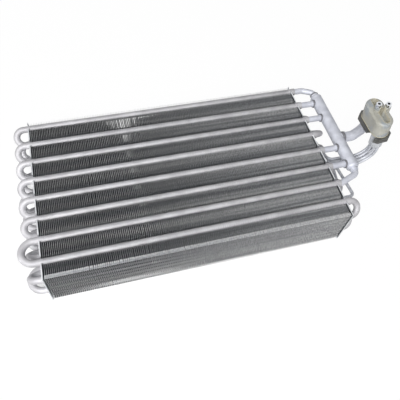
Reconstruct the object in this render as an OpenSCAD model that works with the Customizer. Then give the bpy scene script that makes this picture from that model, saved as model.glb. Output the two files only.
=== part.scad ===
// Evaporator core: a block of thin fins on four layers of round tubes, with
// hairpin bends at the left end, return bends and a suction header at the
// right end, and a two-port connection flange under a push-on cap.
// X runs along the tubes, Y across the tube rows, Z is up. The part stands
// on the lower edges of its two end plates.

/* [Core] */
// Length over the outer faces of the two end plates
core_length = 423; // [300:1:600]
// Distance between two tubes of one layer
row_pitch = 31.75; // [29:0.05:36]
// Distance between two layers of tubes
layer_pitch = 16.8; // [15:0.1:20]
// Depth of the upper layer of tubes below the upper fin edges
first_layer_depth = 5.6; // [5.4:0.1:8]
// Distance of the lower layer of tubes from the lower fin edges
last_layer_margin = 11; // [7:0.5:16]
// Distance of the farthest tube from the far fin edges
first_row_margin = 5.8; // [5.6:0.1:9]
// Number of fins
fin_count = 64; // [20:1:120]
// Thickness of one fin
fin_thickness = 0.3; // [0.2:0.05:0.5]
// Thickness of an end plate
plate_thickness = 1.6; // [1:0.1:3]
// How far an end plate stands out past the fin edges
plate_rise = 1.2; // [0.5:0.1:3]

/* [Tubes] */
// Outer diameter of the core tubes
tube_od = 9.52; // [8:0.01:10]
// Wall of the core tubes
tube_wall = 0.8; // [0.5:0.1:1.2]
// Gap around a tube in a fin, a plate or a wall
tube_fit = 0.1; // [0.05:0.05:0.3]
// Straight length of a hairpin outside the left end plate
hairpin_reach = 7; // [3:0.5:20]
// Distance from the right end plate to the belled tube ends
bell_gap = 1; // [0.5:0.5:4]
// Length of a belled tube end
bell_length = 7; // [5:0.5:12]
// Wall of a belled tube end
bell_wall = 0.9; // [0.6:0.1:1.4]
// Straight length of a return bend past the bell
return_reach = 0.5; // [0.5:0.5:8]

/* [Header] */
// Outer diameter of the suction header
header_od = 19; // [17:0.5:21]
// Wall of the suction header
header_wall = 1.5; // [1:0.1:2]
// Distance of the header's axis from the right end plate
header_gap = 40; // [39:0.5:50]
// How far the header pipe reaches past its far side tube
header_far_reach = 9.5; // [8.5:0.5:11]
// How far the header pipe reaches past its near side tube
header_near_reach = 6.5; // [6:0.5:8]
// Bend radius of the two outlet tubes that enter the header's ends
elbow_radius = 9; // [8:0.1:9.2]
// Outer diameter of the suction pipe
suction_od = 16; // [12:0.5:18]
// Wall of the suction pipe
suction_wall = 1.5; // [1:0.1:2]
// Place of the suction pipe along the core's width
suction_shift = 12; // [8:0.5:16]
// Bend radius of the suction pipe
suction_radius = 15; // [13:0.5:15.5]

/* [Connection] */
// Distance of the flange's middle from the right end plate
flange_gap = 94.5; // [90:0.5:110]
// Place of the flange's middle along the core's width
flange_shift = 8; // [4:0.5:12]
// Height of the flange's underside above the header's axis
flange_rise = 17.4; // [15.4:0.5:27.4]
// Lean of the flange towards the core, in degrees
flange_lean = 9; // [0:0.5:10]
// Length of the flange along the core's width
flange_length = 62; // [60:0.5:70]
// Width of the flange
flange_width = 30; // [29:0.5:36]
// Thickness of the flange
flange_thickness = 10; // [8:0.5:16]
// Distance between the two ports
port_spacing = 34; // [32:0.5:38]
// Distance between the two screws
screw_spacing = 13.8; // [13:0.1:14.5]
// Thread diameter of the screws
screw_d = 5; // [4:0.5:5.5]
// Height of the cap above the flange
cap_height = 29; // [22:0.5:40]
// How far the cap's foot stays inside the flange's edge
cap_inset = 1.5; // [1:0.5:2.5]

/* [Liquid line] */
// Outer diameter of the distributor
distributor_od = 20.5; // [19:0.5:22]
// Length of the distributor below the flange
distributor_length = 18; // [14:0.5:22]
// Outer diameter of the capillary tubes
capillary_od = 4.76; // [3.5:0.01:4.9]
// Wall of the capillary tubes
capillary_wall = 0.8; // [0.5:0.1:1]
// Radius of the circle of capillary tubes in the distributor
capillary_circle = 6.2; // [6:0.1:6.6]
// Bend radius of the capillary tubes
capillary_radius = 8; // [6:0.5:9]
// Radius of the capillaries' sweep below the distributor
sweep_radius = 26; // [22:0.5:27]

/* [Hidden] */
row_count = 8;
layer_count = 4;
core_width = row_count * row_pitch;
core_depth = first_layer_depth + (layer_count - 1) * layer_pitch + last_layer_margin;
core_base = plate_rise;
fin_room = core_length - 2 * plate_thickness;
fin_pitch = fin_room / (fin_count + 1);
end_x = core_length / 2;
slim = 0.01;
joint_share = 0.005;
joint_lap = 0.3;
seam = 0.05;
$fn = 48;

// Place of a tube, [layer, row], in the plane across the tubes
function tube_y(t) = core_width / 2 - first_row_margin - row_pitch * t[1] - (t[0] % 2) * row_pitch / 2;
function tube_z(t) = core_base + core_depth - first_layer_depth - layer_pitch * t[0];
function tube_at(x, t) = [x, tube_y(t), tube_z(t)];

all_tubes = [for (l = [0:layer_count - 1]) for (r = [0:row_count - 1]) [l, r]];

// Each hairpin is one tube with two legs: [layer, row] of both legs
hairpins = [
    [[0, 0], [1, 0]], [[0, 1], [1, 1]], [[0, 2], [1, 2]], [[0, 3], [1, 3]],
    [[0, 4], [1, 4]], [[0, 5], [1, 5]], [[0, 6], [0, 7]], [[1, 6], [2, 6]],
    [[1, 7], [2, 7]], [[2, 0], [3, 0]], [[2, 1], [2, 2]], [[3, 1], [3, 2]],
    [[2, 3], [2, 4]], [[3, 3], [3, 4]], [[2, 5], [3, 5]], [[3, 6], [3, 7]]
];

// Each return bend joins two legs at the right end
returns = [
    [[1, 0], [2, 0]], [[1, 1], [2, 1]], [[2, 2], [3, 1]], [[0, 3], [1, 2]],
    [[1, 3], [2, 3]], [[1, 4], [2, 5]], [[3, 4], [3, 5]], [[1, 5], [2, 6]],
    [[0, 7], [1, 7]], [[2, 7], [3, 7]]
];

// Tubes that lead into the header, from the far end to the near end
outlets = [[0, 0], [0, 1], [0, 2], [0, 4], [0, 5], [0, 6]];

// Tubes that the capillaries feed
inlets = [[3, 0], [3, 2], [2, 4], [3, 3], [1, 6], [3, 6]];

// Bells on the right-hand ends of the core tubes
bell_x = end_x + bell_gap;
bell_end = bell_x + bell_length;
bell_step = 1;
bell_fit = 0.05;
bell_bore = tube_od + 2 * bell_fit;
seat_x = bell_x + bell_step + bell_fit;
return_x = bell_end + return_reach;

// Header
header_x = end_x + header_gap;
header_z = tube_z([0, 0]);
header_far = tube_y(outlets[1]) + header_far_reach;
header_near = tube_y(outlets[4]) - header_near_reach;
header_length = header_far - header_near;
dome_length = 4;
neck_length = 4;
neck_wall = 1.4;
neck_step = 1.5;
far_lead = 14;
near_lead = 2;
slant_clear = 6;
neck_od = tube_od + 2 * (tube_fit + neck_wall);
pulled_height = 2;
pulled_od = tube_od + 2;
saddle_height = 3;
saddle_wall = 1;
saddle_od = suction_od + 2 * (tube_fit + saddle_wall);
saddle_seat = header_od / 2;
suction_drop = flange_rise - 1.4;
suction_run = 26;
suction_ease = 5;

// Connection flange, its ports, screws and cap, in its own leaning frame
flange_x = end_x + flange_gap;
flange_origin = [flange_x, flange_shift, header_z + flange_rise];
flange_chamfer = 7;
port_seat = 5;
port_bore = 13;
liquid_bore = 8;
liquid_seat = 7;
port_y = port_spacing / 2;
scallop_radius = 9.5;
scallop_depth = 11;
scallop_shift = 1;
screw_middle = [3.4, 1.1];
screw_turn = -18.5;
screw_head_d = 1.7 * screw_d;
screw_head_h = screw_d;
screw_hex = 0.8 * screw_d;
screw_hex_depth = 0.6 * screw_d;
screw_fit = 0.2;
screw_end = 2;
cap_top = flange_thickness + cap_height;
cap_width = flange_width - 2 * cap_inset;
cap_end_gap = 1;
cap_length = flange_length - 2 * (cap_inset + cap_end_gap);
cap_edge = 4;
cap_slot_width = 9.5;
cap_slot_end = 8;
cap_slot_length = port_spacing + 2 * cap_slot_end;
cap_slot_depth = 12;
cap_slot_middle = [1.5, 1];
cap_well_d = 8;
cap_well_depth = 4;
boss_d = screw_head_d + 1;
boss_rise = 9;
plug_fit = 0.3;
plug_length = 4;

// Distributor and capillaries
capillary_bore_fit = 0.1;
capillary_seat = 6;
feed_d = 2;
feed_shift = 3;
upper_lane = 29;
lower_lane = 20;
route_step = 2;
adapter_length = 9;

// The footprint's middle along X becomes the origin
left_reach = end_x + hairpin_reach + row_pitch / 2 + tube_od / 2;
right_reach = flange_x + flange_width / 2 * cos(flange_lean);
middle_x = (right_reach - left_reach) / 2;

// General helpers
function unit(v) = v / norm(v);
function turn_angle(p, i) = acos(unit(p[i] - p[i - 1]) * unit(p[i + 1] - p[i]));
function trim(p, i, r) = i == 0 || i == len(p) - 1 ? 0 : r[i - 1] * tan(turn_angle(p, i) / 2);
function lap(p, i) = i == 0 || i == len(p) - 1 ? 0 : joint_lap;

module along(from, direction) {
    translate(from)
        rotate([0, acos(direction[2]), atan2(direction[1], direction[0])])
            children();
}

module ring(od, wall) {
    difference() {
        circle(d = od);
        circle(d = od - 2 * wall);
    }
}

// A straight length is a hair thinner than a bend and reaches a little way into its wall
module straight(from, to, od, wall) {
    joint_step = joint_share * od;
    along(from, unit(to - from))
        linear_extrude(norm(to - from)) ring(od - 2 * joint_step, wall - 2 * joint_step);
}

module bend(start, centre, direction, angle, od, wall) {
    r = norm(start - centre);
    ex = unit(start - centre);
    ez = cross(ex, direction);
    multmatrix([
        [ex[0], direction[0], ez[0], centre[0]],
        [ex[1], direction[1], ez[1], centre[1]],
        [ex[2], direction[2], ez[2], centre[2]],
        [0, 0, 0, 1]
    ])
        rotate_extrude(angle = angle) translate([r, 0]) ring(od, wall);
}

// A tube along the straight lines between points p, with a round bend of radius r[i - 1] at inner point i
module bent_tube(p, r, od, wall) {
    for (i = [0:len(p) - 2]) {
        d = unit(p[i + 1] - p[i]);
        from = p[i] + d * (trim(p, i, r) - lap(p, i));
        to = p[i + 1] - d * (trim(p, i + 1, r) - lap(p, i + 1));
        straight(from, to, od, wall);
    }
    for (i = [1:len(p) - 2]) {
        d0 = unit(p[i] - p[i - 1]);
        d1 = unit(p[i + 1] - p[i]);
        a = turn_angle(p, i);
        bend(p[i] - d0 * trim(p, i, r), p[i] + unit(d1 - d0) * r[i - 1] / cos(a / 2), d0, a, od, wall);
    }
}

// Two legs from leg_x, joined by a half-round bend that starts at bend_x
module u_tube(pair, leg_x, bend_x) {
    side = sign(bend_x - leg_x);
    for (t = pair)
        straight(tube_at(leg_x, t), tube_at(bend_x + side * joint_lap, t), tube_od, tube_wall);
    bend(tube_at(bend_x, pair[0]), (tube_at(bend_x, pair[0]) + tube_at(bend_x, pair[1])) / 2,
        [side, 0, 0], 180, tube_od, tube_wall);
}

// Outline across the tubes: a sheet with a hole at each tube, open upwards at the upper layer
module tube_sheet(rise) {
    hole = tube_od + 2 * tube_fit;
    difference() {
        translate([-core_width / 2 - rise, core_base - rise])
            square([core_width + 2 * rise, core_depth + 2 * rise]);
        for (t = all_tubes) translate([tube_y(t), tube_z(t)]) circle(d = hole);
        for (r = [0:row_count - 1])
            translate([tube_y([0, r]) - hole / 2, tube_z([0, r])])
                square([hole, first_layer_depth + rise + 1]);
    }
}

module upright_sheet(x, thickness, rise) {
    translate([x, 0, 0]) rotate([90, 0, 90]) linear_extrude(thickness) tube_sheet(rise);
}

module end_plate_left() {
    color("gainsboro") upright_sheet(-end_x, plate_thickness, plate_rise);
}

module end_plate_right() {
    color("gainsboro") upright_sheet(end_x - plate_thickness, plate_thickness, plate_rise);
}

module fins() {
    color("dimgray")
        for (i = [1:fin_count])
            upright_sheet(-fin_room / 2 + i * fin_pitch - fin_thickness / 2, fin_thickness, 0);
}

module bell(t) {
    along(tube_at(bell_x, t), [1, 0, 0]) {
        linear_extrude(bell_step) ring(bell_bore + 2 * bell_wall, bell_wall + bell_fit + tube_wall);
        linear_extrude(bell_length) ring(bell_bore + 2 * bell_wall, bell_wall);
    }
}

module hairpin(pair) {
    color("silver") {
        u_tube(pair, bell_x + bell_step / 2, -end_x - hairpin_reach);
        bell(pair[0]);
        bell(pair[1]);
    }
}

module return_bend(pair) {
    color("silver") u_tube(pair, seat_x, return_x);
}

// An outlet that slants towards the header's end and turns into its cap; side is 1 at the far end
module end_outlet(t, side, lead) {
    mouth = (side > 0 ? header_far : header_near) + side * seam;
    color("silver")
        bent_tube([
            tube_at(seat_x, t), tube_at(bell_end + lead, t),
            [header_x, mouth + side * (dome_length + neck_length + slant_clear), header_z],
            [header_x, mouth + side * (neck_step + tube_fit), header_z]
        ], [elbow_radius, elbow_radius], tube_od, tube_wall);
}

module outlet_straight(t) {
    color("silver")
        straight(tube_at(seat_x, t), tube_at(header_x - header_od / 2 + header_wall, t), tube_od, tube_wall);
}

module suction_header() {
    color("lightsteelblue")
        difference() {
            union() {
                along([header_x, header_near, header_z], [0, 1, 0]) cylinder(d = header_od, h = header_length);
                for (i = [1:4])
                    along(tube_at(header_x - header_od / 2 - pulled_height, outlets[i]), [1, 0, 0])
                        cylinder(d = pulled_od, h = pulled_height + header_od / 2);
                along([header_x, suction_shift, header_z], [1, 0, 0])
                    cylinder(d = saddle_od, h = saddle_seat + saddle_height);
            }
            along([header_x, header_near - 1, header_z], [0, 1, 0])
                cylinder(d = header_od - 2 * header_wall, h = header_length + 2);
            for (i = [1:4])
                along(tube_at(header_x - header_od, outlets[i]), [1, 0, 0])
                    cylinder(d = tube_od + 2 * tube_fit, h = header_od);
            along([header_x, suction_shift, header_z], [1, 0, 0])
                cylinder(d = suction_od - 2 * suction_wall, h = header_od);
            along([header_x + saddle_seat, suction_shift, header_z], [1, 0, 0])
                cylinder(d = suction_od + 2 * tube_fit, h = header_od);
        }
}

module dome(radius, rise) {
    intersection() {
        union() {
            translate([radius - rise, 0]) circle(r = rise);
            square([radius - rise, rise]);
        }
        square([radius, rise]);
    }
}

// Spun end of the header: a dome with a neck for the elbow tube, drawn along +Z
module spun_cap() {
    color("lightsteelblue")
        rotate_extrude() difference() {
            union() {
                dome(header_od / 2, dome_length);
                square([neck_od / 2, dome_length + neck_length]);
            }
            dome(header_od / 2 - header_wall, dome_length - header_wall);
            translate([-slim, -1]) square([slim + tube_od / 2 - tube_wall, header_od]);
            translate([-slim, neck_step]) square([slim + tube_od / 2 + tube_fit, header_od]);
        }
}

module header_cap_far() {
    along([header_x, header_far + seam, header_z], [0, 1, 0]) spun_cap();
}

module header_cap_near() {
    along([header_x, header_near - seam, header_z], [0, -1, 0]) spun_cap();
}

function leaning(p) = flange_origin + [
    p[0] * cos(flange_lean) - p[2] * sin(flange_lean),
    p[1],
    p[0] * sin(flange_lean) + p[2] * cos(flange_lean)
];

module lean() {
    translate(flange_origin) rotate([0, -flange_lean, 0]) children();
}

module suction_pipe() {
    color("lightsteelblue")
        bent_tube([
            [header_x + saddle_seat + tube_fit, suction_shift, header_z],
            [header_x + suction_run, suction_shift, header_z],
            leaning([0, port_y, -suction_drop]),
            leaning([0, port_y, port_seat - tube_fit])
        ], [suction_radius + suction_ease, suction_radius], suction_od, suction_wall);
}

module flange_outline() {
    w = flange_width / 2;
    l = flange_length / 2;
    c = flange_chamfer;
    difference() {
        polygon([
            [-w + c, -l], [w - c, -l], [w, -l + c], [w, l - c],
            [w - c, l], [-w + c, l], [-w, l - c], [-w, -l + c]
        ]);
        translate([-w - scallop_radius + scallop_depth, -port_y + scallop_shift])
            circle(r = scallop_radius);
    }
}

module at_screws() {
    translate(screw_middle) rotate(screw_turn)
        for (side = [-1, 1]) translate([side * screw_spacing / 2, 0, 0]) children();
}

module connection_flange() {
    color("gray")
        lean() difference() {
            linear_extrude(flange_thickness) flange_outline();
            translate([0, port_y, -1]) cylinder(d = port_bore, h = flange_thickness + 2);
            translate([0, port_y, -1]) cylinder(d = suction_od + 2 * tube_fit, h = port_seat + 1);
            translate([0, -port_y, -1]) cylinder(d = liquid_bore, h = flange_thickness + 2);
            translate([0, -port_y, -1]) cylinder(d = distributor_od + 2 * tube_fit, h = liquid_seat + 1);
            at_screws() translate([0, 0, -1])
                cylinder(d = screw_d + 2 * screw_fit, h = flange_thickness + 2);
        }
}

module distributor() {
    color("silver")
        lean() translate([0, -port_y, -distributor_length]) difference() {
            cylinder(d = distributor_od, h = distributor_length + liquid_seat - tube_fit);
            translate([0, 0, capillary_seat])
                cylinder(d = liquid_bore, h = distributor_length + liquid_seat);
            for (i = [0:5]) rotate(60 * i) translate([capillary_circle, 0, -1])
                cylinder(d = capillary_od + 2 * capillary_bore_fit, h = capillary_seat + 1);
            for (i = [0:5]) rotate(60 * i) translate([capillary_circle - feed_shift, 0, capillary_seat - 1])
                cylinder(d = feed_d, h = feed_d + 1);
        }
}

function hole_at(i, z) = leaning([capillary_circle * cos(60 * i), capillary_circle * sin(60 * i) - port_y, z]);

// Route: down from the distributor, along -X under the header, aside, and into the inlet;
// turn_steps and aside_steps say how many steps past the header and the bells it turns
module capillary(hole, inlet, lane, turn_steps, aside_steps) {
    top = hole_at(hole, capillary_seat - distributor_length - tube_fit);
    low = [top[0] + (top[2] - lane) * tan(flange_lean), top[1], lane];
    sweep = sweep_radius + capillary_circle * cos(60 * hole);
    color("darkgray")
        bent_tube([
            top, low, [header_x + turn_steps * route_step, low[1], lane],
            tube_at(bell_end + aside_steps * route_step, inlet), tube_at(seat_x + adapter_length / 3, inlet)
        ], [sweep, capillary_radius, capillary_radius], capillary_od, capillary_wall);
}

module inlet_adapters() {
    color("silver")
        for (t = inlets)
            along(tube_at(seat_x, t), [1, 0, 0]) difference() {
                cylinder(d = tube_od, h = adapter_length);
                translate([0, 0, adapter_length / 3 - tube_fit])
                    cylinder(d = capillary_od + 2 * capillary_bore_fit, h = adapter_length);
                translate([0, 0, -1]) cylinder(d = capillary_od - 2 * capillary_wall, h = adapter_length);
            }
}

module oblong(width, length) {
    square([width, length - width], center = true);
    for (side = [-1, 1]) translate([0, side * (length - width) / 2]) circle(d = width);
}

module cap_profile() {
    w = cap_width / 2;
    square([w - cap_edge, cap_height]);
    square([w, cap_height - cap_edge]);
    translate([w - cap_edge, cap_height - cap_edge]) circle(r = cap_edge);
}

module cap_body() {
    run = cap_length - cap_width;
    translate([0, run / 2, 0]) rotate([90, 0, 0]) linear_extrude(run) {
        cap_profile();
        mirror([1, 0]) cap_profile();
    }
    translate([0, run / 2, 0]) rotate_extrude(angle = 180) cap_profile();
    translate([0, -run / 2, 0]) rotate(180) rotate_extrude(angle = 180) cap_profile();
}

module transport_cap() {
    floor_z = cap_top - cap_slot_depth;
    color("wheat")
        lean() difference() {
            union() {
                difference() {
                    translate([0, 0, flange_thickness]) cap_body();
                    translate([cap_slot_middle[0], cap_slot_middle[1], floor_z])
                        linear_extrude(cap_slot_depth + 1) oblong(cap_slot_width, cap_slot_length);
                    for (side = [-1, 1])
                        translate([cap_slot_middle[0], cap_slot_middle[1] + side * port_y, floor_z - cap_well_depth])
                            cylinder(d = cap_well_d, h = cap_height);
                }
                at_screws() translate([0, 0, floor_z - 1])
                    cylinder(d = boss_d, h = cap_slot_depth + 1 + boss_rise);
                translate([0, port_y, flange_thickness - plug_length])
                    cylinder(d = port_bore - 2 * plug_fit, h = plug_length + 1);
                translate([0, -port_y, flange_thickness - plug_length])
                    cylinder(d = liquid_bore - 2 * plug_fit, h = plug_length + 1);
            }
            at_screws() translate([0, 0, flange_thickness - plug_length])
                cylinder(d = screw_d + 2 * screw_fit, h = cap_height + boss_rise + 2 * plug_length);
        }
}

module cap_screw() {
    seat_z = cap_top + boss_rise;
    difference() {
        union() {
            translate([0, 0, screw_end]) cylinder(d = screw_d, h = seat_z - screw_end + slim);
            translate([0, 0, seat_z + slim]) cylinder(d = screw_head_d, h = screw_head_h);
        }
        translate([0, 0, seat_z + screw_head_h - screw_hex_depth])
            cylinder(d = screw_hex / cos(30), h = screw_head_h, $fn = 6);
    }
}

module cap_screws() {
    color("whitesmoke") lean() at_screws() cap_screw();
}

// Moves the footprint's middle to the origin
module place() {
    translate([-middle_x, 0, 0]) children();
}

place() end_plate_left();
place() end_plate_right();
place() fins();
place() hairpin(hairpins[0]);  // hairpin_01
place() hairpin(hairpins[1]);  // hairpin_02
place() hairpin(hairpins[2]);  // hairpin_03
place() hairpin(hairpins[3]);  // hairpin_04
place() hairpin(hairpins[4]);  // hairpin_05
place() hairpin(hairpins[5]);  // hairpin_06
place() hairpin(hairpins[6]);  // hairpin_07
place() hairpin(hairpins[7]);  // hairpin_08
place() hairpin(hairpins[8]);  // hairpin_09
place() hairpin(hairpins[9]);  // hairpin_10
place() hairpin(hairpins[10]);  // hairpin_11
place() hairpin(hairpins[11]);  // hairpin_12
place() hairpin(hairpins[12]);  // hairpin_13
place() hairpin(hairpins[13]);  // hairpin_14
place() hairpin(hairpins[14]);  // hairpin_15
place() hairpin(hairpins[15]);  // hairpin_16
place() return_bend(returns[0]);  // return_bend_01
place() return_bend(returns[1]);  // return_bend_02
place() return_bend(returns[2]);  // return_bend_03
place() return_bend(returns[3]);  // return_bend_04
place() return_bend(returns[4]);  // return_bend_05
place() return_bend(returns[5]);  // return_bend_06
place() return_bend(returns[6]);  // return_bend_07
place() return_bend(returns[7]);  // return_bend_08
place() return_bend(returns[8]);  // return_bend_09
place() return_bend(returns[9]);  // return_bend_10
place() end_outlet(outlets[0], 1, far_lead);  // outlet_tube_1
place() outlet_straight(outlets[1]);  // outlet_tube_2
place() outlet_straight(outlets[2]);  // outlet_tube_3
place() outlet_straight(outlets[3]);  // outlet_tube_4
place() outlet_straight(outlets[4]);  // outlet_tube_5
place() end_outlet(outlets[5], -1, near_lead);  // outlet_tube_6
place() suction_header();
place() header_cap_far();
place() header_cap_near();
place() suction_pipe();
place() connection_flange();
place() distributor();
place() capillary(1, inlets[0], lower_lane, -2, 8);  // capillary_1
place() capillary(2, inlets[1], upper_lane, -4, 8);  // capillary_2
place() capillary(3, inlets[2], upper_lane, -5, 6);  // capillary_3
place() capillary(0, inlets[3], lower_lane, -5, 7);  // capillary_4
place() capillary(4, inlets[4], upper_lane, -2, 11);  // capillary_5
place() capillary(5, inlets[5], lower_lane, -2, 10);  // capillary_6
place() inlet_adapters();
place() transport_cap();
place() cap_screws();
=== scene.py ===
import math
import random

import bmesh
import bpy
from mathutils import Matrix, Vector


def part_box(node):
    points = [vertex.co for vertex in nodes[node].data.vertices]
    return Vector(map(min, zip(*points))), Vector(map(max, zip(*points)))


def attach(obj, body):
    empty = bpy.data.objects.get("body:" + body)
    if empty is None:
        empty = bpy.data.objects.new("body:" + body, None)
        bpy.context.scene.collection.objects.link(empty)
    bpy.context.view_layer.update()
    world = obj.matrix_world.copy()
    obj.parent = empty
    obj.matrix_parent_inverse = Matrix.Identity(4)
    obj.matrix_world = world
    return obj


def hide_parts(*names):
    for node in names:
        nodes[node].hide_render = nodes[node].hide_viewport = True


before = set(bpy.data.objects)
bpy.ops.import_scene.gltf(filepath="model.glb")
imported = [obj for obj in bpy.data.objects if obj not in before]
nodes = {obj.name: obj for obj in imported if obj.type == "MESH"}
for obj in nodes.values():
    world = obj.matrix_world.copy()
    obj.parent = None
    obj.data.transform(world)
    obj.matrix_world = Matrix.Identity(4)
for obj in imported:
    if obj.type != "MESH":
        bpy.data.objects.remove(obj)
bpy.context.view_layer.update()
print("frame loaded")

mm = 0.001

# The core's sizes in mm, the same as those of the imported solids
core = {
    "length": 423.0,
    "rowPitch": 31.75,
    "layerPitch": 16.8,
    "rows": 8,
    "layers": 4,
    "tubeOd": 9.52,
    "topZ": 68.2,
    "baseZ": 1.2,
    "farY": 127.0,
    "firstRow": 5.8,
    "firstLayer": 5.6,
}


def coreMiddle():
    # Middle of the core along X, from the two packed end plates
    leftLow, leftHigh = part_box("end_plate_left")
    rightLow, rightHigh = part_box("end_plate_right")
    return (leftLow[0] + rightHigh[0]) / 2 / mm


middleX = coreMiddle()


def tubePlace(layer, row):
    y = core["farY"] - core["firstRow"] - core["rowPitch"] * row - (layer % 2) * core["rowPitch"] / 2
    z = core["topZ"] - core["firstLayer"] - core["layerPitch"] * layer
    return y, z


# The camera that took the photograph, its place measured from the middle of the core
camera = {
    "place": (-121.75, -371.75, 599.45),
    "turn": (32.3212, -4.5688, -15.0478),
    "lens": 40.905,
    "sensor": 36.0,
    "clipEnd": 20.0,         # metres
}


def makeCamera():
    data = bpy.data.cameras.new("photoCamera")
    data.lens = camera["lens"]
    data.sensor_width = camera["sensor"]
    data.clip_end = camera["clipEnd"]
    eye = bpy.data.objects.new("photoCamera", data)
    x, y, z = camera["place"]
    eye.location = ((middleX + x) * mm, y * mm, z * mm)
    eye.rotation_euler = [math.radians(v) for v in camera["turn"]]
    bpy.context.collection.objects.link(eye)
    bpy.context.scene.camera = eye


makeCamera()
print("camera placed")

# The cap, its flange and its screws stand in one leaning frame
connection = {
    "place": (306.0, 8.0, 80.0),  # from the middle of the core
    "lean": 9.0,
    "flangeThickness": 10.0,
    "capHeight": 29.0,
    "capWidth": 27.0,
    "capLength": 57.0,
    "slotMiddle": (1.5, 1.0),
    "slotWidth": 9.5,
    "slotLength": 50.0,
    "screws": ((-3.144, 3.289), (9.944, -1.089)),  # across and along the cap
    "socketTop": 53.0,
    "socketDepth": 3.0,
    "socketWidth": 4.0,
    "paintedGlowFade": 16.0,      # depth below the top at which the painted glow, standing in for light through the walls, is weakest
    "paintedGlowTop": 0.26,      # at the top
    "paintedGlowBottom": 0.065,
    "paintedGlowOutside": 0.7,      # how far past the wall the glow ends
    "paintedGlowInside": 0.1,
}


def leaning():
    x, y, z = connection["place"]
    move = Matrix.Translation(((middleX + x) * mm, y * mm, z * mm))
    return move @ Matrix.Rotation(math.radians(-connection["lean"]), 4, "Y")


# Materials
def toLinear(hexColour):
    parts = [int(hexColour[i:i + 2], 16) / 255 for i in (1, 3, 5)]
    return [p / 12.92 if p <= 0.04045 else ((p + 0.055) / 1.055) ** 2.4 for p in parts] + [1.0]


def addNode(tree, kind, settings=None, links=None):
    node = tree.nodes.new(kind)
    for key, value in (settings or {}).items():
        if isinstance(key, int) or key in node.inputs:
            node.inputs[key].default_value = value
        else:
            setattr(node, key, value)
    for key, socket in (links or {}).items():
        tree.links.new(socket, node.inputs[key])
    return node


def newMaterial(name):
    mat = bpy.data.materials.new(name)
    mat.use_nodes = True
    tree = mat.node_tree
    shader = tree.nodes["Principled BSDF"]
    place = addNode(tree, "ShaderNodeTexCoord").outputs["Object"]
    return mat, tree, shader, place


def mottled(tree, place, patchMm, dark, light, low=0.35, high=0.65):
    # Soft patches between two colours, patchMm across
    noise = addNode(tree, "ShaderNodeTexNoise", {"Scale": 1000 / patchMm, "Detail": 4.0, "Roughness": 0.55},
                    {"Vector": place})
    ramp = addNode(tree, "ShaderNodeValToRGB", {}, {"Fac": noise.outputs["Fac"]})
    ramp.color_ramp.elements[0].position = low
    ramp.color_ramp.elements[0].color = toLinear(dark)
    ramp.color_ramp.elements[1].position = high
    ramp.color_ramp.elements[1].color = toLinear(light)
    return ramp.outputs["Color"]


def grain(tree, place, stretch, grainMm, strength, depthMm):
    # Fine lines or grit in the surface, as bump. Real grain is a tenth of a millimetre or less and
    # too fine to show from the camera, so all of it is drawn coarser than real.
    mapped = addNode(tree, "ShaderNodeMapping", {"Scale": stretch}, {"Vector": place})
    noise = addNode(tree, "ShaderNodeTexNoise", {"Scale": 1000 / grainMm, "Detail": 3.0},
                    {"Vector": mapped.outputs["Vector"]})
    bump = addNode(tree, "ShaderNodeBump", {"Strength": strength, "Distance": depthMm * mm},
                   {"Height": noise.outputs["Fac"]})
    return bump.outputs["Normal"]


def roughBetween(tree, place, patchMm, low, high):
    noise = addNode(tree, "ShaderNodeTexNoise", {"Scale": 1000 / patchMm, "Detail": 3.0}, {"Vector": place})
    spread = addNode(tree, "ShaderNodeMapRange",
                     {"From Min": 0.3, "From Max": 0.7, "To Min": low, "To Max": high},
                     {"Value": noise.outputs["Fac"]})
    return spread.outputs["Result"]


def paintedRippleStreaks(tree, place, dark, light, streakMm=6, gritMm=2.2):
    # Painted light and shade: light and dark streaks along the tubes stand in for the pressed ripples of
    # every fin catching the light at the same place
    along = addNode(tree, "ShaderNodeMapping", {"Scale": (0.012, 1, 0.12)}, {"Vector": place})
    streaks = mottled(tree, along.outputs["Vector"], streakMm, dark, light, 0.38, 0.62)
    # The grit on the foil is finer than a pixel in reality, so it is drawn coarser
    grit = addNode(tree, "ShaderNodeTexNoise", {"Scale": 1000 / gritMm, "Detail": 2.0}, {"Vector": place})
    shade = addNode(tree, "ShaderNodeMapRange",
                    {"From Min": 0.35, "From Max": 0.65, "To Min": 0.72, "To Max": 1.25},
                    {"Value": grit.outputs["Fac"]})
    # Painted streaks of light and shade, times a random grit tone
    streakShadeAndGrit = addNode(tree, "ShaderNodeVectorMath", {"operation": "SCALE"},
                   {0: streaks, "Scale": shade.outputs["Result"]})
    return streakShadeAndGrit.outputs[0]


def metal(name, dark, light, patchMm, rough, grainMm, stretch, strength, depthMm, metallic=1.0,
          paintedStreaks=False):
    mat, tree, shader, place = newMaterial(name)
    shader.inputs["Metallic"].default_value = metallic
    if paintedStreaks:
        colour = paintedRippleStreaks(tree, place, dark, light)
    else:
        colour = mottled(tree, place, patchMm, dark, light)
    roughness = roughBetween(tree, place, patchMm / 2, rough[0], rough[1])
    tree.links.new(colour, shader.inputs["Base Color"])
    tree.links.new(roughness, shader.inputs["Roughness"])
    tree.links.new(grain(tree, place, stretch, grainMm, strength, depthMm), shader.inputs["Normal"])
    return mat


def drawnAluminiumTube():
    # Drawn tube: bright, with faint lines along X where it ran through the die
    return metal("drawnAluminiumTube", "#9e9da0", "#b5b4b7", patchMm=18, rough=(0.58, 0.7),
                 grainMm=0.5, stretch=(0.05, 1, 1), strength=0.25, depthMm=0.02, metallic=0.4)


def drawnAluminiumHeader():
    # Header tube: the same alloy, matte and a little bluish from the brazing oven
    return metal("drawnAluminiumHeader", "#b2b4bd", "#c8cad2", patchMm=14, rough=(0.55, 0.68),
                 grainMm=0.5, stretch=(1, 0.1, 1), strength=0.08, depthMm=0.02, metallic=0.4)


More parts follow.
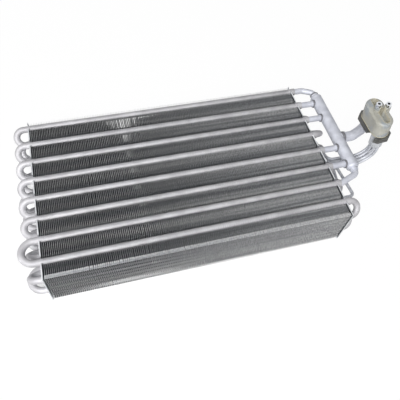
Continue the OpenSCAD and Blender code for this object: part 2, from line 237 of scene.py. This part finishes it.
def rolledFoilPaintedShade():
    # Rolled fin foil: thin and matte, its faces coloured darker than bare foil as painted shade, so the
    # gaps between fins stay dark
    return metal("rolledFoilPaintedShade", "#636568", "#9d9e9f", patchMm=30, rough=(0.5, 0.62),
                 grainMm=3.0, stretch=(0.2, 0.2, 1), strength=0.9, depthMm=0.6, metallic=0.2, paintedStreaks=True)


def shearedEdgePaintedLight():
    # The sheared edge of the foil, drawn brighter than the faces of the same foil: painted light on every
    # edge
    return metal("shearedEdgePaintedLight", "#888a8d", "#b9b9b9", patchMm=12, rough=(0.4, 0.5),
                 grainMm=1.0, stretch=(1, 1, 1), strength=0.3, depthMm=0.05, metallic=0.15, paintedStreaks=True)


def rolledAluminiumSheet():
    # Rolled plate: bright sheet with a cut edge
    return metal("rolledAluminiumSheet", "#c3c6c9", "#e2e4e6", patchMm=25, rough=(0.3, 0.42),
                 grainMm=0.6, stretch=(1, 0.1, 1), strength=0.25, depthMm=0.02)


def turnedAluminium():
    # Turned aluminium: fine rings round each fitting
    return metal("turnedAluminium", "#aeb1b5", "#c8cace", patchMm=6, rough=(0.4, 0.52),
                 grainMm=0.4, stretch=(1, 1, 0.2), strength=0.25, depthMm=0.02, metallic=0.6)


def drawnAluminiumCapillary():
    # Thin drawn tube, bent by hand and matte from the brazing oven
    return metal("drawnAluminiumCapillary", "#a9abb1", "#c3c5cb", patchMm=9, rough=(0.52, 0.66),
                 grainMm=0.3, stretch=(1, 1, 1), strength=0.15, depthMm=0.015, metallic=0.4)


def milledAluminium():
    # Milled block, coloured a dull dark grey
    return metal("milledAluminium", "#525250", "#676764", patchMm=5, rough=(0.45, 0.6),
                 grainMm=0.4, stretch=(0.2, 1, 1), strength=0.3, depthMm=0.03, metallic=0.7)


def brazedFillerAndPaintedShade():
    # Brazing filler and its heat tint: a dull dark grey band round each joint; the same colour is painted
    # shade on the far neck
    return metal("brazedFillerAndPaintedShade", "#626266", "#7b7b80", patchMm=3, rough=(0.68, 0.8),
                 grainMm=0.6, stretch=(1, 1, 1), strength=0.5, depthMm=0.1, metallic=0.15)


def nickelPlatedSteel():
    # Plated screws: mirror bright
    return metal("nickelPlatedSteel", "#cfd2d6", "#eceef1", patchMm=4, rough=(0.1, 0.18),
                 grainMm=0.3, stretch=(1, 1, 1), strength=0.1, depthMm=0.01)


def nickelSteelPaintedShade():
    # Painted shade: a dark insert at the bottom of each hexagon socket, where little light reaches
    return metal("nickelSteelPaintedShade", "#26272a", "#3a3b3e", patchMm=2, rough=(0.5, 0.6),
                 grainMm=0.3, stretch=(1, 1, 1), strength=0.3, depthMm=0.05, metallic=0.5)


def paintedGlowShare(tree, place):
    # Share of the painted glow: 1 in the recess of the cap and 0 outside it, weaker towards its bottom
    inverse = leaning().inverted()
    move = addNode(tree, "ShaderNodeMapping",
                   {"Location": inverse.to_translation(), "Rotation": inverse.to_euler()},
                   {"Vector": place})
    parts = addNode(tree, "ShaderNodeSeparateXYZ", {}, {"Vector": move.outputs["Vector"]})
    midX, midY = connection["slotMiddle"]
    halfWidth = connection["slotWidth"] / 2
    halfRun = connection["slotLength"] / 2 - halfWidth
    across = addNode(tree, "ShaderNodeMath", {"operation": "SUBTRACT", 1: midX * mm},
                     {0: parts.outputs["X"]})
    along = addNode(tree, "ShaderNodeMath", {"operation": "SUBTRACT", 1: midY * mm},
                    {0: parts.outputs["Y"]})
    away = addNode(tree, "ShaderNodeMath", {"operation": "ABSOLUTE"}, {0: along.outputs[0]})
    past = addNode(tree, "ShaderNodeMath", {"operation": "SUBTRACT", 1: halfRun * mm}, {0: away.outputs[0]})
    beyond = addNode(tree, "ShaderNodeMath", {"operation": "MAXIMUM", 1: 0.0}, {0: past.outputs[0]})
    flat = addNode(tree, "ShaderNodeCombineXYZ", {}, {"X": across.outputs[0], "Y": beyond.outputs[0]})
    reach = addNode(tree, "ShaderNodeVectorMath", {"operation": "LENGTH"}, {0: flat.outputs[0]})
    inside = addNode(tree, "ShaderNodeMapRange",
                     {"From Min": (halfWidth + connection["paintedGlowOutside"]) * mm,
                      "From Max": (halfWidth - connection["paintedGlowInside"]) * mm},
                     {"Value": reach.outputs["Value"]})
    top = connection["flangeThickness"] + connection["capHeight"]
    depth = addNode(tree, "ShaderNodeMapRange",
                    {"From Min": (top - connection["paintedGlowFade"]) * mm, "From Max": top * mm,
                     "To Min": connection["paintedGlowBottom"], "To Max": connection["paintedGlowTop"]},
                    {"Value": parts.outputs["Z"]})
    share = addNode(tree, "ShaderNodeMath", {"operation": "MULTIPLY"},
                    {0: inside.outputs["Result"], 1: depth.outputs["Result"]})
    return share.outputs[0]


def mouldedPolyethylene(patchMm=16):
    # Milky moulding: cooler patches show where it is thick, and a painted glow in the recess stands in for
    # light coming through its walls
    mat, tree, shader, place = newMaterial("mouldedPolyethylene")
    warm = mottled(tree, place, 18, "#97968d", "#a4a39b")
    patches = addNode(tree, "ShaderNodeTexNoise", {"Scale": 1000 / patchMm, "Detail": 1.0},
                      {"Vector": place})
    amount = addNode(tree, "ShaderNodeMapRange",
                     {"From Min": 0.5, "From Max": 0.64, "To Min": 0.0, "To Max": 0.75},
                     {"Value": patches.outputs["Fac"]})
    colour = addNode(tree, "ShaderNodeMix", {"data_type": "RGBA"},
                     {0: amount.outputs["Result"], 6: warm})
    colour.inputs[7].default_value = toLinear("#8c9399")
    tree.links.new(colour.outputs[2], shader.inputs["Base Color"])
    shader.inputs["Roughness"].default_value = 0.45
    shader.inputs["IOR"].default_value = 1.5
    # Painted light: a warm glow in the recess stands in for light through the cap's walls, weaker towards
    # its bottom
    shader.inputs["Emission Color"].default_value = toLinear("#c6ba98")
    tree.links.new(paintedGlowShare(tree, place), shader.inputs["Emission Strength"])
    bump = grain(tree, place, stretch=(1, 1, 1), grainMm=4.0, strength=0.1, depthMm=0.1)
    tree.links.new(bump, shader.inputs["Normal"])
    return mat


def polyethyleneEdgePaintedLight():
    # Painted light: the thin edges of the moulding are drawn lighter and more yellow, standing in for light
    # that leaves them sideways
    mat, tree, shader, place = newMaterial("polyethyleneEdgePaintedLight")
    tree.links.new(mottled(tree, place, 8, "#a39b82", "#b0aa96"), shader.inputs["Base Color"])
    shader.inputs["Roughness"].default_value = 0.38
    shader.inputs["IOR"].default_value = 1.5
    bump = grain(tree, place, stretch=(1, 1, 1), grainMm=0.8, strength=0.15, depthMm=0.05)
    tree.links.new(bump, shader.inputs["Normal"])
    return mat


def dress(names, mat):
    for name in names:
        obj = nodes[name]
        if not obj.data.materials:
            obj.data.materials.append(mat)
        for i in range(len(obj.data.materials)):
            obj.data.materials[i] = mat


tubeFinish = drawnAluminiumTube()
headerFinish = drawnAluminiumHeader()
finFacePaintedShade = rolledFoilPaintedShade()
finEdgePaintedLight = shearedEdgePaintedLight()
plateFinish = rolledAluminiumSheet()
fittingFinish = turnedAluminium()
capillaryFinish = drawnAluminiumCapillary()
flangeFinish = milledAluminium()
screwFinish = nickelPlatedSteel()
capFinish = mouldedPolyethylene()
capEdgePaintedLight = polyethyleneEdgePaintedLight()
jointAndShadeFinish = brazedFillerAndPaintedShade()
socketPaintedShade = nickelSteelPaintedShade()

dress([n for n in nodes if n.startswith(("hairpin", "return_bend"))], tubeFinish)
dress([n for n in nodes if n.startswith("outlet")], headerFinish)
dress(["suction_header", "header_cap_far", "header_cap_near", "suction_pipe"], headerFinish)
dress(["fins"], finFacePaintedShade)
dress(["end_plate_left", "end_plate_right"], plateFinish)
dress(["distributor", "inlet_adapters"], fittingFinish)
dress([n for n in nodes if n.startswith("capillary")], capillaryFinish)
dress(["connection_flange"], flangeFinish)
dress(["cap_screws"], screwFinish)
dress(["transport_cap"], capFinish)
print("materials on the packed nodes")


def addPiece(name, bm, mat, smooth=True):
    mesh = bpy.data.meshes.new(name)
    bm.to_mesh(mesh)
    bm.free()
    mesh.materials.append(mat)
    for face in mesh.polygons:
        face.use_smooth = smooth
    piece = bpy.data.objects.new(name, mesh)
    bpy.context.collection.objects.link(piece)
    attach(piece, "root")
    return piece


# Fins, a stack of thin sheets on the tubes
fins = {
    "pitch": 2.5,
    "thickness": 0.22,
    "plate": 1.6,            # thickness of an end plate
    "fit": 0.08,             # between a tube and its hole
    "lean": 5.0,             # degrees, top edges towards -X
    "leanTurn": 10.0,        # taken off that from the middle to the right end
    "leanJitter": 0.35,
    "leanFade": 60.0,        # distance from a plate at which the lean is whole
    "bow": 0.2,
    "bowWave": 3.0,
    "ripple": -1.5,          # the sheet is folded to and fro along its depth
    "ripplePitch": 10.0,
    "firstFold": 3.0,
    "lastFold": 1.0,
    "crush": 4.6,            # handling has flattened the upper near corners into a light strip
    "crushWiden": 0.9,
    "crushShift": 0.12,
    "cornerStep": 1.0,
    "nearWiden": 0.1,        # the near edges are a little burred
    "lightFolds": ((50.2, 0.5), (15.2, 0.9), (10.2, 0.8)),
    "footWiden": 0.35,
    "foldsMiddle": 95.0,     # folds low on the near face are pressed wide here
    "foldsReach": 85.0,
    "dip": 2.4,              # the upper edge dips on both sides of a tube
    "farStep": 0.1,
    "collar": 0.45,          # and runs over it as a thin collar
    "collarFrom": 25,
    "topSteps": 14,
    "lowSteps": 8,
    "packs": 6,
    "seed": 7,
}


def nearY():
    return core["farY"] - core["rows"] * core["rowPitch"]


def upperEdge():
    # From the far side to the near side, down beside each upper tube and over it
    points = []
    radius = core["tubeOd"] / 2
    over = radius + fins["collar"]
    steps = fins["topSteps"] // 2
    for row in range(core["rows"]):
        y, z = tubePlace(0, row)
        points.append((min(y + radius + fins["dip"], core["farY"] - fins["farStep"]), core["topZ"]))
        for i in range(steps + 1):
            a = math.radians(fins["collarFrom"] + (180 - 2 * fins["collarFrom"]) * i / steps)
            points.append((y + over * math.cos(a), z + over * math.sin(a)))
        points.append((y - radius - fins["dip"], core["topZ"]))
    return points


def finLoops():
    # The sheet's edge and its round holes, in Y and Z
    near = nearY()
    corners = [(near, core["baseZ"]), (core["farY"], core["baseZ"]), (core["farY"], core["topZ"])]
    crush = fins["crush"]
    step = fins["cornerStep"]
    nearCorner = [(near + crush + step, core["topZ"]), (near + crush, core["topZ"]), (near, core["topZ"]),
                  (near, core["topZ"] - step)]
    loops = [corners + upperEdge() + nearCorner]
    radius = core["tubeOd"] / 2 + fins["fit"]
    for layer in range(core["layers"]):
        steps = fins["lowSteps"] if layer else fins["topSteps"]
        for row in range(core["rows"]):
            y, z = tubePlace(layer, row)
            turns = [2 * math.pi * i / steps for i in range(steps)]
            loops.append([(y + radius * math.cos(a), z + radius * math.sin(a)) for a in turns])
    return loops


def foldLines():
    # Heights at which the sheet is folded, from the upper edge down
    lines = []
    z = core["topZ"] - fins["firstFold"]
    while z > core["baseZ"] + fins["lastFold"]:
        lines.append(z)
        z -= fins["ripplePitch"] / 2
    return lines


def ripple(z):
    depth = (core["topZ"] - fins["firstFold"] - z) / fins["ripplePitch"]
    return fins["ripple"] * (abs(2 * (depth % 1) - 1) - 0.5)


def finSheet(reach=0.5):
    # One folded sheet, and those of its points that a wide fold moves. Points within reach of an
    # edge belong to it.
    bm = bmesh.new()
    half = fins["thickness"] / 2 * mm
    rims = []
    for loop in finLoops():
        verts = [bm.verts.new((-half, y * mm, z * mm)) for y, z in loop]
        for i in range(len(verts)):
            rims.append(bm.edges.new((verts[i], verts[(i + 1) % len(verts)])))
    bmesh.ops.triangle_fill(bm, edges=rims, use_beauty=True, use_dissolve=False, normal=(-1, 0, 0))
    for z in foldLines():
        whole = bm.verts[:] + bm.edges[:] + bm.faces[:]
        bmesh.ops.bisect_plane(bm, geom=whole, dist=1e-6, plane_co=(0, 0, z * mm), plane_no=(0, 0, 1))
    bmesh.ops.solidify(bm, geom=bm.faces[:], thickness=-fins["thickness"] * mm)
    bmesh.ops.recalc_face_normals(bm, faces=bm.faces)
    across = [vert.co.x for vert in bm.verts]
    centre = (min(across) + max(across)) / 2
    near = nearY()
    bm.verts.index_update()
    lightFolds = []
    for vert in bm.verts:
        side = math.copysign(1.0, vert.co.x - centre)
        y, z = vert.co.y / mm, vert.co.z / mm
        vert.co.x -= centre
        if y < near + reach:
            vert.co.x += side * fins["nearWiden"] * mm
            for height, widen in fins["lightFolds"]:
                if abs(z - height) < reach:
                    lightFolds.append((vert.index, side * widen))
        if z < core["baseZ"] + reach and y < near + reach:
            vert.co.x += side * fins["footWiden"] * mm
        if z > core["topZ"] - reach and y < near + fins["crush"] + reach:
            vert.co.x += side * fins["crushWiden"] * mm
        vert.co.x += ripple(z) * mm
    return bm, lightFolds


def settleFin(verts, lightFolds, x, room, dice):
    # A fin leans and bows a little, less so beside the stiff end plates
    fromPlate = room / 2 - abs(x - middleX)
    share = min(1.0, fromPlate / fins["leanFade"])
    lean = fins["lean"] - fins["leanTurn"] * max(0.0, (x - middleX) / (room / 2))
    slope = math.tan(math.radians(lean + dice.uniform(-1, 1) * fins["leanJitter"])) * share
    bow = dice.uniform(-1, 1) * fins["bow"] * share
    middleZ = (core["topZ"] + core["baseZ"]) / 2 * mm
    crushed = fins["crushShift"] * dice.uniform(-1, 1) * min(1.0, fromPlate / fins["crush"])
    fromLeft = x - middleX + room / 2
    bright = max(0.0, 1 - abs(fromLeft - fins["foldsMiddle"]) / fins["foldsReach"])
    near = nearY()
    for index, widen in lightFolds:
        verts[index].co.x += widen * bright * mm
    for vert in verts:
        y = vert.co.y / (core["farY"] * mm)
        toCorner = math.hypot(vert.co.y / mm - near, vert.co.z / mm - core["topZ"])
        if toCorner < fins["cornerStep"]:
            vert.co.x += crushed * mm
        vert.co.x += x * mm - slope * (vert.co.z - middleZ) + bow * mm * math.cos(fins["bowWave"] * y)


def makeFins():
    sheet, lightFolds = finSheet()
    flat = bpy.data.meshes.new("finSheet")
    sheet.to_mesh(flat)
    sheet.free()
    room = core["length"] - 2 * fins["plate"]
    count = round(room / fins["pitch"]) - 1
    first = middleX - room / 2
    perPack = math.ceil(count / fins["packs"])
    dice = random.Random(fins["seed"])
    for pack in range(fins["packs"]):
        bm = bmesh.new()
        for i in range(pack * perPack, min(count, (pack + 1) * perPack)):
            before = len(bm.verts)
            bm.from_mesh(flat)
            bm.verts.ensure_lookup_table()
            x = first + (i + 1) * room / (count + 1)
            settleFin(bm.verts[before:], lightFolds, x, room, dice)
        bm.normal_update()
        # Faces across X take the darker foil colour, painted shade, and the edges take its lighter copy,
        # painted light
        for face in bm.faces:
            face.material_index = int(abs(face.normal.x) < 0.5)
        piece = addPiece("finPack%d" % (pack + 1), bm, finFacePaintedShade, smooth=False)
        piece.data.materials.append(finEdgePaintedLight)
        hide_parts("fins")
    bpy.data.meshes.remove(flat)


makeFins()
print("fins made")


# The suction header's joints, each with a small lathed ring of brazing, and a dark ring of painted shade on
# the far neck. A ring's measures are its thickness, its length and how far it starts before the joint.
header = {
    "x": 251.5,              # from the middle of the core
    "z": 62.6,
    "radius": 9.5,
    "sideRows": (1, 2, 4, 5),
    "collarWall": 1.0,
    "suctionY": 12.0,
    "pipeRadius": 8.0,
    "farEnd": 98.95,
    "neckReach": 8.0,
    "outletRing": (0.9, 3.4, 1.6),
    "suctionRing": (1.5, 6.0, 4.5),
    "suctionSteps": 48,
    "neckShadeRing": (2.2, 3.6, 1.6),
}


def lathe(bm, profile, centre, axis, steps=36):
    # Closed profile of (radius, height) turned about an axis through centre
    turn = Vector(axis).to_track_quat("Z", "X").to_matrix().to_4x4()
    place = Matrix.Translation(Vector(centre) * mm) @ turn
    rings = []
    for i in range(steps):
        a = 2 * math.pi * i / steps
        spots = [Vector((r * math.cos(a), r * math.sin(a), h)) for r, h in profile]
        rings.append([bm.verts.new(place @ spot) for spot in spots])
    joinRings(bm, rings)


def joinRings(bm, rings):
    # Faces between each ring of points and the next, the last one back to the first
    count = len(rings[0])
    for i in range(len(rings)):
        this, other = rings[i], rings[(i + 1) % len(rings)]
        for j in range(count):
            k = (j + 1) % count
            bm.faces.new((this[j], other[j], other[k], this[k]))


def roundBand(inner, thickness, length, corners=3):
    # Profile of a band with rounded outer corners, in metres
    r = thickness * 0.8
    points = [(inner, 0.0)]
    for i in range(corners + 1):
        a = math.pi / 2 * i / corners
        points.append((inner + thickness - r + r * math.sin(a), r - r * math.cos(a)))
    for i in range(corners + 1):
        a = math.pi / 2 * i / corners
        points.append((inner + thickness - r + r * math.cos(a), length - r + r * math.sin(a)))
    points.append((inner, length))
    return [(x * mm, y * mm) for x, y in points]


def makeJoints():
    x = middleX + header["x"]
    z = header["z"]
    tubeR = core["tubeOd"] / 2
    bm = bmesh.new()
    thickness, length, before = header["outletRing"]
    for row in header["sideRows"]:
        y, rowZ = tubePlace(0, row)
        start = x - header["radius"] - before
        lathe(bm, roundBand(tubeR + header["collarWall"], thickness, length), (start, y, rowZ), (1, 0, 0))
    addPiece("outletBrazing", bm, jointAndShadeFinish)
    bm = bmesh.new()
    thickness, length, before = header["suctionRing"]
    start = x + header["radius"] - before
    lathe(bm, roundBand(header["pipeRadius"], thickness, length), (start, header["suctionY"], z), (1, 0, 0),
          header["suctionSteps"])
    addPiece("suctionBrazing", bm, jointAndShadeFinish)
    # Painted shade: a dark ring on the far neck, where the elbow lies in shade
    bm = bmesh.new()
    thickness, length, before = header["neckShadeRing"]
    start = header["farEnd"] + header["neckReach"] - before
    lathe(bm, roundBand(tubeR, thickness, length), (x, start, z), (0, 1, 0))
    addPiece("farNeckPaintedShade", bm, jointAndShadeFinish)


makeJoints()
print("joints made")


# Thin beads on the cap in a lighter edge colour, painted light, and dark inserts of painted shade in the
# sockets of its screws
capDetails = {
    "rimSink": 0.1,
    "rimRadius": 0.35,
    "footWiden": 0.2,
    "footRise": 0.7,
    "footRadius": 0.5,
    "shadeInsertFit": 0.02,
    "shadeInsertWall": 0.2,
    "shadeInsertFloor": 0.3,
    "shadeInsertLift": 0.05,
    "shadeInsertSink": 0.25,
}


def oblongPath(width, length, steps=14):
    run = (length - width) / 2
    path = []
    for side in (1, -1):
        for i in range(steps + 1):
            a = math.pi * i / steps + (0 if side > 0 else math.pi)
            path.append((width / 2 * math.cos(a), side * run + width / 2 * math.sin(a)))
    return path


def bead(name, width, length, middle, height, radius, sides=10):
    # A thin rounded bead along an oblong path, on the leaning frame
    bm = bmesh.new()
    place = leaning()
    path = oblongPath(width, length)
    rings = []
    for i, (px, py) in enumerate(path):
        before, after = path[i - 1], path[(i + 1) % len(path)]
        along = Vector((after[0] - before[0], after[1] - before[1], 0)).normalized()
        out = Vector((along.y, -along.x, 0))
        ring = []
        for j in range(sides):
            a = 2 * math.pi * j / sides
            spot = Vector((px + middle[0], py + middle[1], height)) + out * radius * math.cos(a)
            spot.z += radius * math.sin(a)
            ring.append(bm.verts.new(place @ (spot * mm)))
        rings.append(ring)
    joinRings(bm, rings)
    bmesh.ops.recalc_face_normals(bm, faces=bm.faces)
    # The beads take the lighter edge colour of the moulding, painted light
    addPiece(name, bm, capEdgePaintedLight)


def makeBeads():
    top = connection["flangeThickness"] + connection["capHeight"]
    bead("capRecessRim", connection["slotWidth"], connection["slotLength"], connection["slotMiddle"],
         top - capDetails["rimSink"], capDetails["rimRadius"])
    bead("capFootBead", connection["capWidth"] + capDetails["footWiden"],
         connection["capLength"] + capDetails["footWiden"], (0, 0),
         connection["flangeThickness"] + capDetails["footRise"], capDetails["footRadius"])


def makeSocketShadeInserts():
    # Painted shade: thin dark hexagon inserts at the bottom of the screw sockets
    place = leaning()
    bm = bmesh.new()
    outer = connection["socketWidth"] / 2 / math.cos(math.pi / 6) - capDetails["shadeInsertFit"]
    inner = outer - capDetails["shadeInsertWall"]
    low = connection["socketTop"] - connection["socketDepth"] + capDetails["shadeInsertLift"]
    high = connection["socketTop"] - capDetails["shadeInsertSink"]
    profile = ((outer, low), (outer, high), (inner, high), (inner, low + capDetails["shadeInsertFloor"]))
    for sx, sy in connection["screws"]:
        rims = []
        for r, h in profile:
            rim = []
            for i in range(6):
                a = math.pi / 3 * i
                spot = Vector((sx + r * math.cos(a), sy + r * math.sin(a), h))
                rim.append(bm.verts.new(place @ (spot * mm)))
            rims.append(rim)
        bm.faces.new(rims[0][::-1])
        bm.faces.new(rims[3])
        for this, other in zip(rims, rims[1:]):
            for i in range(6):
                j = (i + 1) % 6
                bm.faces.new((this[i], this[j], other[j], other[i]))
    bmesh.ops.recalc_face_normals(bm, faces=bm.faces)
    addPiece("socketShadeInserts", bm, socketPaintedShade, smooth=False)


makeBeads()
makeSocketShadeInserts()
print("cap details made")


# Floor and light, in metres
studio = {
    "floorWhite": "#fdfdfd",
    "floorGlow": 0.97,
    "floorSize": 6.0,
    "floorDrop": 0.0002,     # just below the end plates
    "paintedShadowReach": 18.0,    # mm, the reach of the painted shadow close to the core
    "glowInPaintedShadow": 0.2,
    "ambient": 0.1,
    "aim": (0, 0, 0.03),
    "keyLamp": ((-0.8, -1.1, 1.4), 1.0, 54.0),     # place, width and watts
    "sideLamp": ((-1.6, -0.2, 0.75), 0.6, 4.0),
}


def seenDirectly(tree):
    # 1 for rays from the camera, from a mirror or through a clear wall, otherwise 0
    rays = addNode(tree, "ShaderNodeLightPath")
    seen = addNode(tree, "ShaderNodeMath", {"operation": "MAXIMUM"},
                   {0: rays.outputs["Is Camera Ray"], 1: rays.outputs["Is Glossy Ray"]})
    seen = addNode(tree, "ShaderNodeMath", {"operation": "MAXIMUM"},
                   {0: seen.outputs[0], 1: rays.outputs["Is Transmission Ray"]})
    return seen.outputs[0]


def paleStudioFloor():
    # White paper: seen plain white, but under the core and close to it an occlusion mask cuts its glow, a
    # painted shadow, so the real shadow shows there too
    mat = bpy.data.materials.new("paleStudioFloor")
    mat.use_nodes = True
    tree = mat.node_tree
    tree.nodes.clear()
    # Painted shadow: the glow fades where the floor is occluded by the core
    paintedShadowMask = addNode(tree, "ShaderNodeAmbientOcclusion",
                       {"samples": 8, "Distance": studio["paintedShadowReach"] * mm})
    glow = addNode(tree, "ShaderNodeMapRange",
                   {"To Min": studio["glowInPaintedShadow"], "To Max": studio["floorGlow"]},
                   {"Value": paintedShadowMask.outputs["AO"]})
    share = addNode(tree, "ShaderNodeMath", {"operation": "MULTIPLY"},
                    {0: seenDirectly(tree), 1: glow.outputs["Result"]})
    plain = addNode(tree, "ShaderNodeBsdfDiffuse", {"Color": toLinear(studio["floorWhite"])})
    white = addNode(tree, "ShaderNodeEmission", {"Color": (1, 1, 1, 1), "Strength": 1.0})
    mix = addNode(tree, "ShaderNodeMixShader", {},
                  {0: share.outputs[0], 1: plain.outputs[0], 2: white.outputs[0]})
    addNode(tree, "ShaderNodeOutputMaterial", {}, {"Surface": mix.outputs[0]})
    return mat


def makeFloor():
    bm = bmesh.new()
    bmesh.ops.create_grid(bm, x_segments=1, y_segments=1, size=studio["floorSize"])
    mesh = bpy.data.meshes.new("floor")
    bm.to_mesh(mesh)
    bm.free()
    mesh.materials.append(paleStudioFloor())
    floor = bpy.data.objects.new("floor", mesh)
    floor.location.z = -studio["floorDrop"]
    bpy.context.collection.objects.link(floor)


def makeWorld():
    world = bpy.data.worlds.new("softStudio")
    bpy.context.scene.world = world
    world.use_nodes = True
    tree = world.node_tree
    tree.nodes.clear()
    dim = addNode(tree, "ShaderNodeBackground", {"Color": (1, 1, 1, 1), "Strength": studio["ambient"]})
    full = addNode(tree, "ShaderNodeBackground", {"Color": (1, 1, 1, 1), "Strength": 1.0})
    mix = addNode(tree, "ShaderNodeMixShader", {},
                  {0: seenDirectly(tree), 1: dim.outputs[0], 2: full.outputs[0]})
    addNode(tree, "ShaderNodeOutputWorld", {}, {"Surface": mix.outputs[0]})


def makeLamp(name):
    place, width, watts = studio[name]
    data = bpy.data.lights.new(name, "AREA")
    data.shape = "DISK"
    data.size = width
    data.energy = watts
    lamp = bpy.data.objects.new(name, data)
    lamp.location = place
    lamp.rotation_euler = (Vector(studio["aim"]) - Vector(place)).to_track_quat("-Z", "Y").to_euler()
    bpy.context.collection.objects.link(lamp)


makeFloor()
makeWorld()
makeLamp("keyLamp")
makeLamp("sideLamp")
bpy.context.scene.view_settings.view_transform = "Standard"
print("floor and light set")
